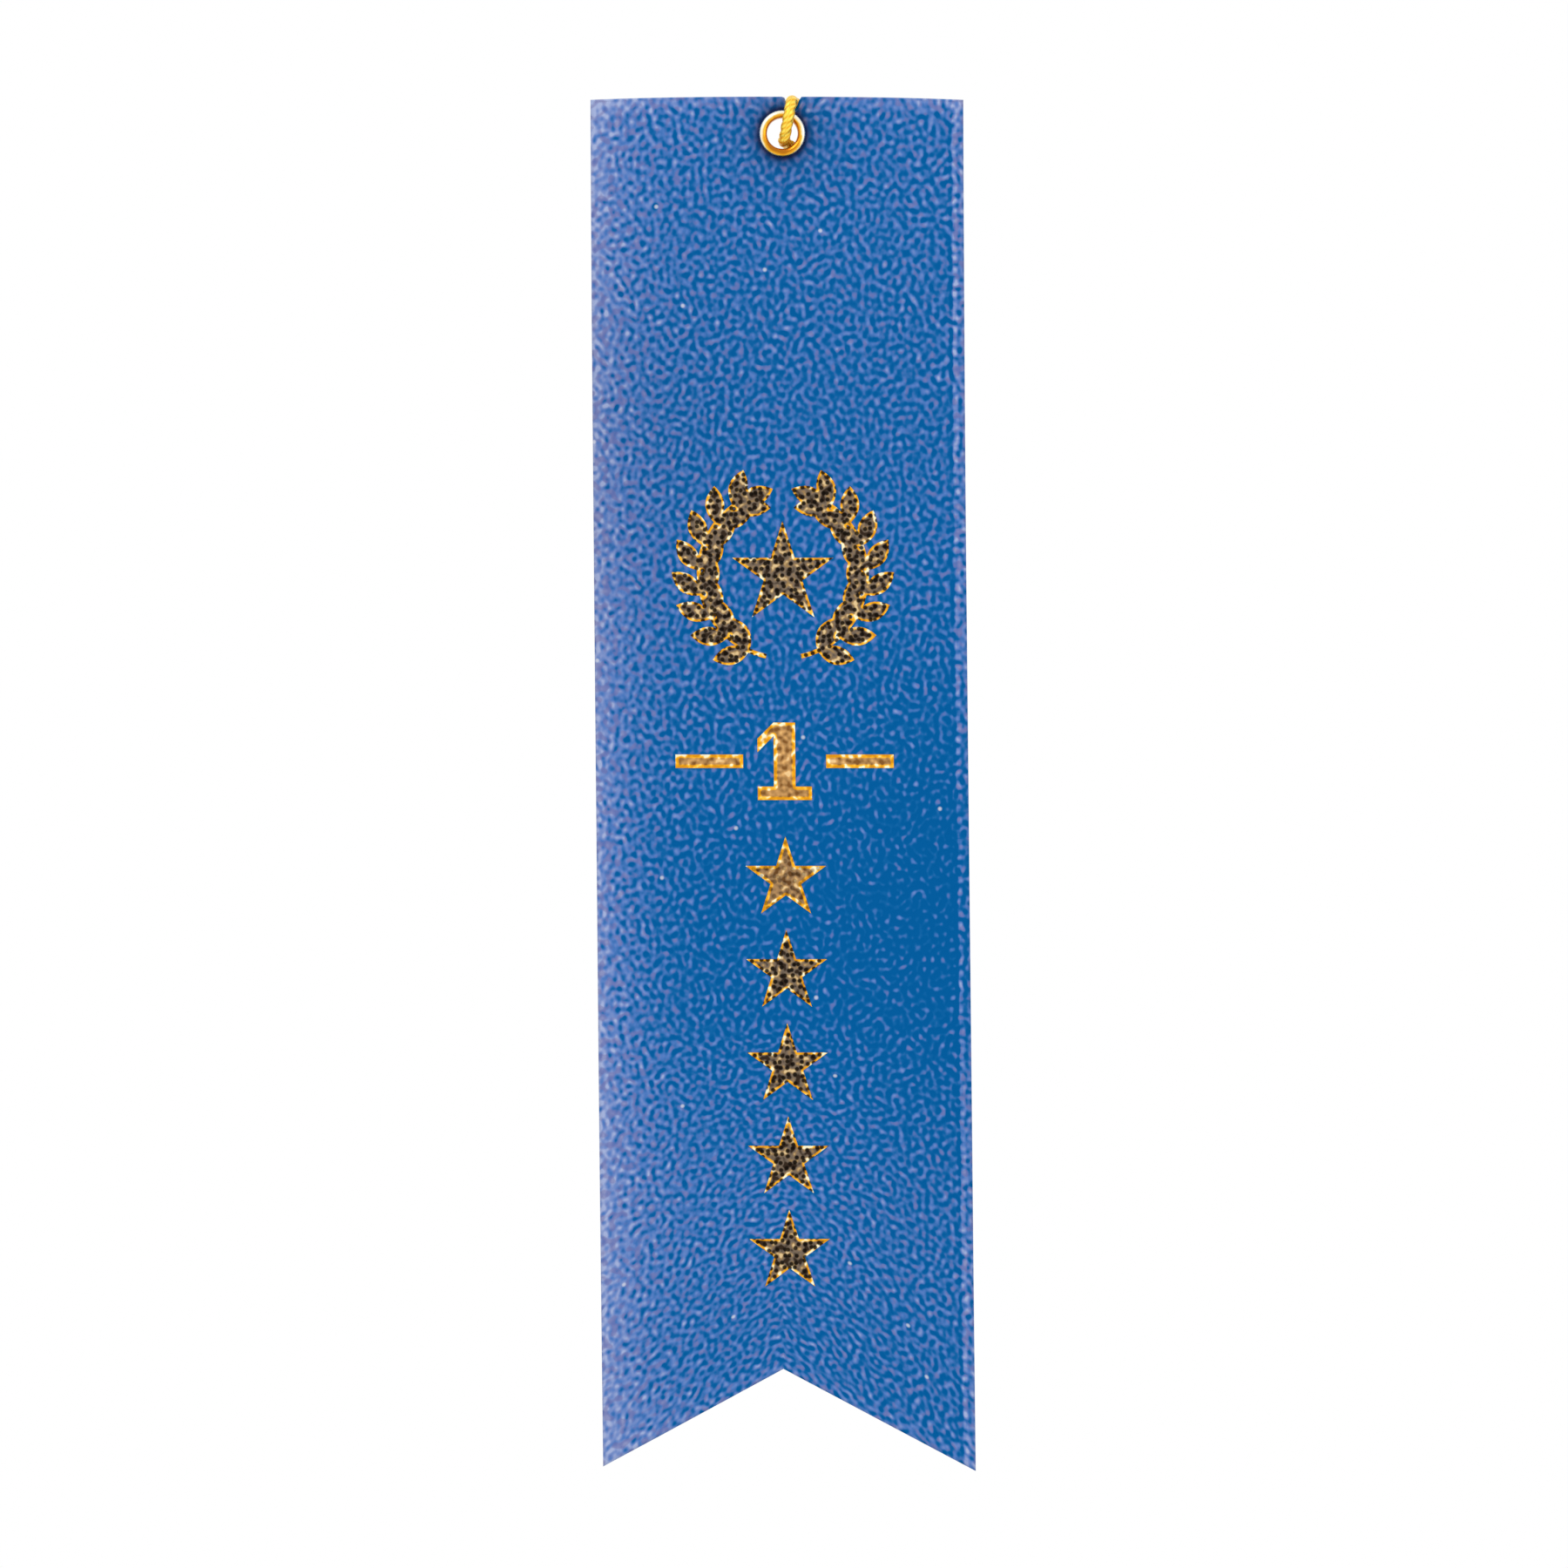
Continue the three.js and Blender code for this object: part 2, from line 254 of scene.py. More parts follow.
def steady_frames(path, closed=False):
    """Two directions across the path at each point, which don't spin about it. A fixed direction
    is first flattened on to each cross-section. The angle that this turns by from one point to
    the next is added up and taken off again. On a closed path the angle left over at the join is
    shared out along the whole of it."""
    if closed:
        along = np.roll(path, -1, axis=0) - np.roll(path, 1, axis=0)
    else:
        along = np.gradient(path, axis=0)
    along /= np.linalg.norm(along, axis=1)[:, None]

    def flattened(directions):
        flat = directions - along * (directions * along).sum(axis=1)[:, None]
        return flat / np.linalg.norm(flat, axis=1)[:, None]

    side = flattened(np.tile([0.3, 0.5, 0.81], (len(path), 1)))
    before = flattened(np.roll(side, 1, axis=0))
    spin = np.arctan2((np.cross(before, side) * along).sum(axis=1), (before * side).sum(axis=1))
    total = np.cumsum(spin) - spin[0]
    if closed:
        left_over = (total[-1] + spin[0] + np.pi) % (2 * np.pi) - np.pi
        total = total - left_over * np.linspace(0, 1, len(path), endpoint=False)
    up = np.cross(along, side)
    cosine, sine = np.cos(-total)[:, None], np.sin(-total)[:, None]
    return cosine * side + sine * up, cosine * up - sine * side


def twisted_cord(name, path, radius, closed=False):
    """Radius at angle a: radius times 1 - LOBE_DEPTH * (1 - c), where c is the size of
    cos(1.5 * (a - turn)) to the power 0.8, and turn grows by a full circle each TWIST_PITCH. This
    gives three soft lobes. An open cord's ends are rounded off."""
    sides, ups = steady_frames(path, closed)
    gaps = np.linalg.norm(np.diff(path, axis=0), axis=1)
    along = np.concatenate([[0], np.cumsum(gaps)])
    whole = along[-1] + (np.linalg.norm(path[0] - path[-1]) if closed else 0)
    turns = max(1, round(whole / TWIST_PITCH)) / whole
    angle = np.linspace(0, 2 * np.pi, AROUND, endpoint=False)[None, :]
    lobe = np.abs(np.cos(PLIES / 2 * (angle - 2 * np.pi * turns * along[:, None])))
    reach = radius * (1 - LOBE_DEPTH * (1 - lobe**0.8))
    if not closed:
        blunt = np.minimum(along, whole - along)
        reach = reach * np.sqrt(np.clip(blunt / radius + 0.15, 0, 1))[:, None]
    points = (
        path[:, None]
        + (reach * np.cos(angle))[..., None] * sides[:, None]
        + (reach * np.sin(angle))[..., None] * ups[:, None]
    )
    rows = len(path)
    faces = grid_faces(rows, AROUND, around=True)
    points = points.reshape(-1, 3)
    across = np.tile(np.linspace(0, 2 * np.pi * radius, AROUND), rows)
    lengthwise = np.repeat(along, AROUND)
    if closed:
        first = np.arange(AROUND)
        last = first + (rows - 1) * AROUND
        seam = np.stack([last, np.roll(last, -1), np.roll(first, -1), first], axis=1)
        faces = [*faces.tolist(), *seam.tolist()]
    else:
        ring = list(range(AROUND))
        faces = [*faces.tolist(), ring[::-1], [(rows - 1) * AROUND + k for k in ring]]
    piece = mesh_piece(name, points, faces)
    uv_in_mm(piece, across, lengthwise)
    return piece


loop_cord = twisted_cord("hanging_loop", loop_path, CORD / 2)
turn_cord = twisted_cord("turn_through_eyelet", turn_path, CORD / 2)
print("twisted cord:", len(loop_cord.data.polygons) + len(turn_cord.data.polygons), "faces")

# %% [markdown]
# The knot is a plain overhand knot. Its path is the trefoil of the geometry books: one circle
# gone round twice while a second circle, twice as fast, carries it in and out. Drawn with the
# same twisted section, its three lobes sit over and under each other as tight string does.

# %% Tie the knot
KNOT_SCALE = 0.43  # mm for each unit of the trefoil
KNOT_DEPTH = 0.56  # mm that the path swings in and out
KNOT_STRAND = 0.58  # mm, the cord's radius where the knot squeezes it
KNOT_STEPS = 220


def trefoil(count):
    """x = sin t + 2 sin 2t, z = cos t - 2 cos 2t and y = -sin 3t, each scaled, about the knot."""
    t = np.linspace(0, 2 * np.pi, count, endpoint=False)
    x = KNOT_SCALE * (np.sin(t) + 2 * np.sin(2 * t))
    z = KNOT_SCALE * (np.cos(t) - 2 * np.cos(2 * t))
    return KNOT_AT + np.stack([x, -KNOT_DEPTH * np.sin(3 * t), z], axis=1)


knot_cord = twisted_cord("overhand_knot", trefoil(KNOT_STEPS), KNOT_STRAND, closed=True)
print("the knot spans", [round(v, 1) for v in knot_cord.dimensions / MM], "mm")

# %% [markdown]
# ### Gold cord, the material
#
# The yarn is rayon wrapped with a flat strip of gold-coloured aluminium film, wound on at a
# slant. The film is a smooth metal that mirrors the white studio, so the cord looks lemon yellow
# on its ridges and orange where two yarns meet and the light bounces between them. Thin slanting
# lines are the joints of the wound strip.

# %% Make the cord gold
FILM_STRIP = 0.45  # mm of cord covered by one wrap of the film
WAVE_BANDS = 3.2  # that a Wave texture of scale 1 draws in one unit


def gold_film():
    material, tree, shader = new_material("gold_film_wrapped_yarn", Metallic=0.6, Roughness=0.3)
    place = add(tree, "ShaderNodeUVMap", uv_map="surface_mm")
    slant = add(tree, "ShaderNodeMapping", {"Vector": place.outputs[0], "Rotation": (0, 0, -0.6)})
    wraps = add(
        tree, "ShaderNodeTexWave",
        {"Vector": slant.outputs[0], "Scale": 1 / FILM_STRIP / WAVE_BANDS, "Distortion": 1.2,
         "Detail": 2.0, "Detail Scale": 2.0},
        wave_type="BANDS", bands_direction="Y",
    )
    shade = add(
        tree, "ShaderNodeValToRGB", {"Fac": wraps.outputs["Fac"]},
        stops=[(0.0, "#EBA91F"), (0.3, "#F9C835"), (1.0, "#FFE25A")],
    )
    glints = add(
        tree, "ShaderNodeTexNoise", {"Vector": place.outputs[0], "Scale": 3.0, "Detail": 3.0}
    )
    gloss = add(
        tree, "ShaderNodeMapRange",
        {"Value": glints.outputs["Fac"], "To Min": 0.16, "To Max": 0.46},
    )
    ridges = add(
        tree, "ShaderNodeBump",
        {"Height": wraps.outputs["Fac"], "Strength": 0.35, "Distance": 0.03 * MM},
    )
    tree.links.new(shade.outputs["Color"], shader.inputs["Base Color"])
    tree.links.new(gloss.outputs["Result"], shader.inputs["Roughness"])
    tree.links.new(ridges.outputs["Normal"], shader.inputs["Normal"])
    return material


gold_yarn = gold_film()
for piece in (loop_cord, turn_cord, knot_cord):
    piece.data.materials.append(gold_yarn)
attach(loop_cord, "cord_loop")
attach(turn_cord, "ribbon")
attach(knot_cord, "ribbon")
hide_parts("cord_loop")
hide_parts("cord_turn")
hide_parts("cord_knot")
print("the cord rides and is declared")

# %% [markdown]
# ## The satin strip
#
# The strip is one length of woven satin. It hangs straight, but cloth is never quite flat: it
# drifts a little to one side as it goes down, its edges curl back, and two or three slow waves
# run through it. One function gives that shape for any point of the strip, and the foil uses the
# same function, so that the foil lies on the cloth wherever the cloth goes.
#
# The mesh is the middle surface of the cloth: up the front, over the fold and down the hem. A
# Solidify modifier then gives it its thickness and closes its edges.

# %% Shape of the hanging cloth
low, high = (np.array(corner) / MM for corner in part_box("ribbon"))
LEFT, RIGHT, TOP = low[0], high[0], high[2]
FOOT = low[2]
SATIN = 0.25  # mm thick
HEM = 12.0  # mm folded back
FOLD_MIDDLE = high[1] / 2  # the fold turns about this depth
NOTCH_SLOPE = np.tan(np.radians(28.3))  # of the swallowtail's two cuts
NOTCH_X = (LEFT + RIGHT) / 2 - 0.55  # cut a little left of the middle
NOTCH_Z = FOOT + (RIGHT - NOTCH_X) * NOTCH_SLOPE
HALF = (RIGHT - LEFT) / 2
MIDDLE_X = (LEFT + RIGHT) / 2
DRIFT = 1.35  # mm to the right, at DRIFT_DEPTH below the fold
DRIFT_DEPTH = 147.6
GROOVE_X = 1.1  # where the cord crosses the fold
GROOVE_DEPTH = 1.36


def drift(z):
    """How far the cloth has moved to the right at height z: it grows faster than the depth."""
    return DRIFT * (np.clip(TOP - z, 0, None) / DRIFT_DEPTH) ** 1.28


def billow(x, z):
    """How far the cloth stands back from its plane: curled edges and slow waves, which fade out
    towards the fold, where the eyelet holds two layers flat."""
    side = (x - MIDDLE_X) / HALF
    depth = TOP - z
    freed = smooth_step(4, 45, depth)
    curl = 0.55 * np.abs(side) ** 3 * smooth_step(0, 14, depth)
    wave = 0.75 * np.sin(2 * np.pi * (depth - 20) / 125 + 0.9 * side)
    ripple = 0.16 * np.sin(2 * np.pi * depth / 43 + 2.1 * side) * side
    return curl + freed * (wave + ripple + 0.5)


def top_sag(x, z):
    """The fold's two corners hang a little lower than its middle."""
    return 0.35 * np.abs((x - MIDDLE_X) / HALF) ** 2.5 * smooth_step(-30, TOP, z)


def groove(x, z):
    """How far the cord presses the fold down: flat under the cord, with rounded shoulders."""
    across = np.clip(np.abs(x - GROOVE_X) / 1.02, 0, 1)
    return GROOVE_DEPTH * (1 - across**4) ** 2 * smooth_step(2.5, 3.7, z)


def pucker(x, z):
    """Faint gathers that run out from the eyelet, where the cord pulls the cloth."""
    away = np.hypot(x, z)
    round_it = np.arctan2(z, x)
    return 0.05 * np.cos(7 * round_it + 0.6) * smooth_step(2.4, 4, away) * np.exp(-away / 5)


def hang(x, y, z):
    """Moves flat points of the strip to where the hanging cloth has them."""
    placed_x = x + drift(z)
    placed_y = y + billow(x, z) + pucker(x, z)
    placed_z = z - top_sag(x, z) - groove(x, z)
    return np.stack([placed_x, placed_y, placed_z], axis=-1)


print("strip from", round(LEFT, 2), "to", round(RIGHT, 2), "mm, foot at", round(FOOT, 2))

# %% Weave the strip's mesh
HOLE = 2.12  # mm, radius of the cut for the eyelet's barrel
WARP_TOP = -100.0  # height below which the rows bend to the swallowtail


def spaced(start, end, coarse, fine, middle, reach):
    """Numbers from start to end, fine apart within reach of middle and coarse apart elsewhere."""
    near = np.clip([middle - reach, middle + reach], start, end)
    before = np.linspace(start, near[0], max(1, int((near[0] - start) / coarse)) + 1)[:-1]
    within = np.linspace(near[0], near[1], max(1, int((near[1] - near[0]) / fine)) + 1)
    after = np.linspace(near[1], end, max(1, int((end - near[1]) / coarse)) + 1)[1:]
    return np.concatenate([before, within, after])


def fold_profile():
    """Depth y and height z of the middle surface, and the distance s from the foot: straight up
    the front, half a circle over the fold, and straight down the hem."""
    radius = FOLD_MIDDLE - SATIN / 2
    bend = TOP - FOLD_MIDDLE
    front = spaced(FOOT, bend, 0.55, 0.22, 0.9, 4.2)
    turn = np.linspace(0, np.pi, 11)[1:-1]
    hem = spaced(TOP - HEM, bend, 0.5, 0.22, 0.9, 4.2)[::-1]
    y = np.concatenate(
        [np.full(len(front), SATIN / 2), FOLD_MIDDLE - radius * np.cos(turn),
         np.full(len(hem), FOLD_MIDDLE + radius)]
    )
    z = np.concatenate([front, bend + radius * np.sin(turn), hem])
    s = np.concatenate([[0], np.cumsum(np.hypot(np.diff(y), np.diff(z)))])
    return y, z, s, len(front)


def satin_strip():
    y, z, s, front_rows = fold_profile()
    x = np.sort(np.append(spaced(LEFT, RIGHT, 0.5, 0.22, 0.6, 3.4), NOTCH_X))
    # Below WARP_TOP the rows close up or spread so that the lowest one follows the swallowtail.
    foot = NOTCH_Z - np.abs(x - NOTCH_X) * NOTCH_SLOPE
    share = np.clip((WARP_TOP - z) / (WARP_TOP - FOOT), 0, 1)[:, None]
    share[front_rows:] = 0
    height = np.where(share > 0, WARP_TOP - share * (WARP_TOP - foot[None, :]), z[:, None])
    wide = np.broadcast_to(x[None, :], height.shape)
    deep = np.broadcast_to(y[:, None], height.shape)
    points = hang(wide, deep, height).reshape(-1, 3)
    # The hole for the barrel: cells inside it go, and the points left inside move to its edge.
    away = np.hypot(wide, height).ravel()
    faces = grid_faces(len(z), len(x))
    faces = faces[away[faces].mean(axis=1) > HOLE]
    pull = np.where(away < HOLE, HOLE / np.maximum(away, 0.3), 1.0)
    points[:, 0] *= pull
    points[:, 2] *= pull
    used, faces = np.unique(faces, return_inverse=True)
    faces = faces.reshape(-1, 4)
    strip = mesh_piece("satin_strip", points[used], faces)
    lengthwise = np.broadcast_to(s[:, None], height.shape).ravel()[used]
    uv_in_mm(strip, wide.ravel()[used] - LEFT, lengthwise)
    # The painted sheen and tone, stored on each point.
    point_value(strip, "painted_sheen_and_tone", painted_sheen_and_tone(wide, height).ravel()[used])
    # Painted shadow round the eyelet and painted shade on the upper left, stored on each point.
    painted_shade_side = np.where(deep > FOLD_MIDDLE, 0.4, 1.0)  # the painted shadow is weaker on the hem behind
    point_value(strip, "painted_shade", (painted_shade(wide, height) * painted_shade_side).ravel()[used])
    return strip


def painted_sheen_and_tone(x, z):
    """How far the colour is painted towards violet-white. It adds up smooth parts: a painted sheen
    makes the left edge, most of all at the foot, the right edge, the fold and the swallowtail's cut
    paler, and a broad patch in the lower half is deeper than the rest, with a slightly paler one
    below."""
    depth = TOP - z
    left, right = x - LEFT, RIGHT - x
    across = left / (RIGHT - LEFT)
    cut = (z - NOTCH_Z + np.abs(x - NOTCH_X) * NOTCH_SLOPE) * 0.88
    # Painted sheen along the left edge, the right edge, the fold and the cut.
    from_left = 0.34 * np.exp(-left / (4.1 + 3.0 * smooth_step(138, 150, depth)))
    from_left += 0.12 * np.exp(-left / 0.35)
    from_right = 0.22 * np.exp(-right / 0.5)
    from_fold = 0.17 * np.exp(-((depth / 1.2) ** 2)) * (0.75 + 3 * (across - 0.5) ** 2)
    from_fold += 0.04 * np.exp(-np.clip(depth, 0, None) / 12)
    from_cut = 0.10 * np.exp(-np.clip(cut, 0, None) / 0.9)
    deep = 0.18 * np.exp(-(((depth - 90) / 24) ** 2)) * (0.3 + 0.7 * across)
    low_patch = 0.05 * np.exp(-(((depth - 122) / 15) ** 2)) * (1 - 0.5 * across)
    return from_left + from_right + from_fold + from_cut + low_patch - deep


def painted_shade(x, z):
    """How much darker the cloth is painted, from 0 to 1: a painted contact shadow, darkest just round
    the flange and a little for some millimetres round that, and a little painted shade where the strip
    turns from the light."""
    away = np.hypot(x, z * 0.96)
    # Painted contact shadow: dark at the flange's edge, with a fainter halo round it.
    pressed = 0.68 * np.exp(-np.clip(away - 2.7, 0, None) / 0.45)
    around = 0.25 * np.exp(-np.clip(away - 2.6, 0, None) / 2.6)
    turned = 0.13 * np.exp(-(((TOP - z - 40) / 24) ** 2)) * np.exp(-(x - LEFT) / 17)
    return np.clip(pressed + around + turned, 0, 1)


strip = satin_strip()
wall = strip.modifiers.new("cloth_thickness", "SOLIDIFY")
wall.thickness = SATIN * MM
wall.offset = 0
print("satin strip:", len(strip.data.polygons), "cells before its thickness")

# %% [markdown]
# ### Satin, the material
#
# Acetate satin is woven so that the long threads float over four or five cross threads. The
# floats lie side by side and catch the light together, which gives the soft sheen. This cloth
# also has a crinkled grain: islands of full blue a millimetre apart, taller than wide, in a net
# of greyed violet where threads stand up and scatter the light. Plain noise has lumps of many
# sizes and would look like cloud. The Gabor texture lays ripples of one spacing in every
# direction, which gives just such islands and worms. A painted sheen and tone stored on the mesh
# shifts the ramp, so that the net wins where the sheen is painted, along the edges, the fold and
# the cut. A painted shadow stored beside it darkens the cloth round the eyelet and on the upper
# left. Down the right-hand side runs the selvedge, the woven border: a dark furrow and, beside
# it, a row of pale pin marks from the loom.
# Single threads are an eighth of a millimetre apart, too fine to show, so they are drawn at twice
# that and only as a faint bump.

# %% Dye the satin
GRAIN = 0.97  # mm from one blue island to the next
RIPPLES = 1.45  # ripples that keep one direction before it changes
THREAD = 0.25  # mm, drawn at twice the real spacing
FURROW = RIGHT - LEFT - 1.5  # mm across the strip, as are the pins
PINS = RIGHT - LEFT - 1.05
PIN_PITCH = 1.3  # mm from one pin mark to the next, along the strip
WANDER = 0.5  # mm that furrow and pins stray from a straight line
LINT_PITCH = 17.0  # mm from one speck to the next


def near_line(tree, value, middle, reach):
    """1 where the value is at middle, falling to 0 at reach to either side."""
    gap = add(tree, "ShaderNodeMath", {0: value, 1: middle}, operation="SUBTRACT")
    size = add(tree, "ShaderNodeMath", {0: gap.outputs[0]}, operation="ABSOLUTE")
    fade = add(
        tree, "ShaderNodeMapRange",
        {"Value": size.outputs[0], "From Min": 0.3 * reach, "From Max": reach, "To Min": 1.0,
         "To Max": 0.0},
    )
    return fade.outputs["Result"]


def satin_grain(tree, place):
    """Ripples of one spacing that point every way, with a little noise to break their order."""
    stretched = add(
        tree, "ShaderNodeMapping", {"Vector": place.outputs[0], "Scale": (1.0, 0.86, 1.0)}
    )
    ripples = add(
        tree, "ShaderNodeTexGabor",
        {"Vector": stretched.outputs[0], "Scale": 1 / GRAIN / RIPPLES, "Frequency": RIPPLES,
         "Anisotropy": 0.0},
        gabor_type="2D",
    )
    cloud = add(
        tree, "ShaderNodeTexNoise",
        {"Vector": stretched.outputs[0], "Scale": 1.4 / GRAIN, "Detail": 1.0},
        noise_dimensions="2D",
    )
    uneven = add(
        tree, "ShaderNodeMath", {0: cloud.outputs["Fac"], 1: 0.35, 2: -0.175},
        operation="MULTIPLY_ADD",
    )
    return add(
        tree, "ShaderNodeMath", {0: ripples.outputs["Value"], 1: uneven.outputs[0]},
        operation="ADD",
    )


def blue_satin():
    material, tree, shader = new_material(
        "woven_acetate_satin", Roughness=0.55, Specular_IOR_Level=0.02, Sheen_Weight=0.01,
        Sheen_Roughness=0.35,
    )
    place = add(tree, "ShaderNodeUVMap", uv_map="surface_mm")
    sheen_and_tone_factor = add(tree, "ShaderNodeAttribute", attribute_name="painted_sheen_and_tone")
    # The stored painted shade, which darkens the cloth as a painted shadow.
    painted_shade_factor = add(tree, "ShaderNodeAttribute", attribute_name="painted_shade")
    grain = satin_grain(tree, place)
    # The stored painted sheen lifts the level towards the pale net.
    level = add(
        tree, "ShaderNodeMath", {0: grain.outputs[0], 1: sheen_and_tone_factor.outputs["Fac"]},
        operation="ADD",
    )
    # The selvedge: pins raise the level, the furrow lowers it.
    bent = add(
        tree, "ShaderNodeTexNoise", {"Vector": place.outputs[0], "Scale": 0.5, "Detail": 1.0}
    )
    parts = add(tree, "ShaderNodeSeparateXYZ", {"Vector": place.outputs[0]})
    across = add(
        tree, "ShaderNodeMath", {0: bent.outputs["Fac"], 1: WANDER, 2: parts.outputs["X"]},
        operation="MULTIPLY_ADD",
    )
    step = add(
        tree, "ShaderNodeMath", {0: parts.outputs["Y"], 1: PIN_PITCH}, operation="PINGPONG"
    )
    row = near_line(tree, across.outputs[0], PINS + WANDER / 2, 0.42)
    beat = near_line(tree, step.outputs[0], PIN_PITCH / 2, PIN_PITCH / 2)
    pins = add(tree, "ShaderNodeMath", {0: row, 1: beat}, operation="MULTIPLY")
    furrow = near_line(tree, across.outputs[0], FURROW + WANDER / 2, 0.3)
    raised = add(
        tree, "ShaderNodeMath", {0: pins.outputs[0], 1: 0.3, 2: level.outputs[0]},
        operation="MULTIPLY_ADD",
    )
    level = add(
        tree, "ShaderNodeMath", {0: furrow, 1: -0.13, 2: raised.outputs[0]},
        operation="MULTIPLY_ADD",
    )
    dye = add(
        tree, "ShaderNodeValToRGB", {"Fac": level.outputs[0]},
        stops=[(0.36, "#005593"), (0.46, "#0D5C9A"), (0.64, "#4A72B3"), (0.82, "#7287BC"),
               (1.0, "#98A5CB")],
    )
    # The raised threads differ a little: some stay mauve where the dye took badly.
    batches = add(
        tree, "ShaderNodeTexNoise",
        {"Vector": place.outputs[0], "Scale": 1.1, "Detail": 0.0}, noise_dimensions="2D",
    )
    odd = add(
        tree, "ShaderNodeMapRange",
        {"Value": batches.outputs["Fac"], "From Min": 0.52, "From Max": 0.68, "To Max": 0.55},
    )
    standing = add(
        tree, "ShaderNodeMapRange",
        {"Value": level.outputs[0], "From Min": 0.5, "From Max": 0.64},
    )
    mauve_share = add(
        tree, "ShaderNodeMath", {0: odd.outputs["Result"], 1: standing.outputs["Result"]},
        operation="MULTIPLY",
    )
    tinted = add(
        tree, "ShaderNodeMix",
        {"Factor": mauve_share.outputs[0], "A": dye.outputs["Color"], "B": linear("#6A689C")},
        data_type="RGBA",
    )
    # Painted shadow: the dye is mixed towards dark navy round the eyelet and on the upper left.
    shaded = add(
        tree, "ShaderNodeMix",
        {"Factor": painted_shade_factor.outputs["Fac"], "A": tinted.outputs["Result"],
         "B": linear("#14163C")},
        data_type="RGBA",
    )
    # Lint: one pale speck in each large cell.
    cells = add(
        tree, "ShaderNodeTexVoronoi",
        {"Vector": place.outputs[0], "Scale": 1 / LINT_PITCH}, voronoi_dimensions="2D",
    )
    lint = add(
        tree, "ShaderNodeMapRange",
        {"Value": cells.outputs["Distance"], "From Min": 0.007, "From Max": 0.017,
         "To Min": 0.7, "To Max": 0.0},
    )
    dusted = add(
        tree, "ShaderNodeMix",
        {"Factor": lint.outputs["Result"], "A": shaded.outputs["Result"],
         "B": linear("#C9CBD6")},
        data_type="RGBA",
    )
    threads = add(
        tree, "ShaderNodeTexWave",
        {"Vector": place.outputs[0], "Scale": 1 / THREAD / WAVE_BANDS, "Distortion": 0.6},
        wave_type="BANDS", bands_direction="X",
    )
    fine = add(
        tree, "ShaderNodeBump",
        {"Height": threads.outputs["Fac"], "Strength": 0.25, "Distance": 0.02 * MM},
    )
    crinkle = add(
        tree, "ShaderNodeBump",
        {"Height": grain.outputs[0], "Strength": 0.6, "Distance": 0.15 * MM,
         "Normal": fine.outputs["Normal"]},
    )
    tree.links.new(dusted.outputs["Result"], shader.inputs["Base Color"])
    tree.links.new(crinkle.outputs["Normal"], shader.inputs["Normal"])
    return material


strip.data.materials.append(blue_satin())
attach(strip, "ribbon")
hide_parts("ribbon")

# %% [markdown]
# ## The foil
#
# The wreath, the numeral and the stars are hot-stamped: a heated die presses a film of gold metal
# on to the cloth. The film is thinner than a hair, so it takes the cloth's grain and lies in its
# waves. The design gives each patch its outline. Here the outline is filled again with small
# triangles, so that it can follow the cloth, and every point learns how far it is from the edge,
# because a painted highlight makes a brighter rim along the edge.

# %% Fill an outline with small triangles
FOIL_LIFT = 0.045  # mm that the film stands off the cloth
FOIL_SINK = 0.03  # mm that its underside is pressed into it
FINE_STEP = 0.2  # mm between points


def front_edges(node):
    """The edge lines of a foil's front face, as pairs of (x, z) points in millimetres."""
    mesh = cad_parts[node].data
    mesh.calc_loop_triangles()
    points = np.zeros(len(mesh.vertices) * 3)
    mesh.vertices.foreach_get("co", points)
    corners = np.zeros(len(mesh.loop_triangles) * 3, dtype=np.int64)
    mesh.loop_triangles.foreach_get("vertices", corners)
    points = points.reshape(-1, 3) / MM
    places, same = np.unique(points.round(4), axis=0, return_inverse=True)
    triangles = same.ravel()[corners].reshape(-1, 3)
    triangles = triangles[(places[triangles, 1] < places[:, 1].min() + 0.005).all(axis=1)]
    edges = np.concatenate([triangles[:, [0, 1]], triangles[:, [1, 2]], triangles[:, [2, 0]]])
    edges = edges[edges[:, 0] != edges[:, 1]]
    key = edges[:, 0] * len(places) + edges[:, 1]
    back = edges[:, 1] * len(places) + edges[:, 0]
    border = edges[~np.isin(key, back)]
    return places[border][..., [0, 2]]


def gap_to(points, edges):
    """Distance from each point to the nearest of these edge lines."""
    best = np.full(len(points), np.inf)
    for start, end in edges:
        step = end - start
        share = np.clip((points - start) @ step / max(step @ step, 1e-12), 0, 1)
        best = np.minimum(best, np.linalg.norm(points - start - share[:, None] * step, axis=1))
    return best


def inside(points, edges):
    """True where a line from the point to the right crosses the outline an odd number of times."""
    x, z = points[:, :1], points[:, 1:]
    (ax, az), (bx, bz) = edges[:, 0].T, edges[:, 1].T
    spans = (az > z) != (bz > z)
    with np.errstate(divide="ignore", invalid="ignore"):
        cross = ax + (z - az) * (bx - ax) / (bz - az)
    return (spans & (x < cross)).sum(axis=1) % 2 == 1


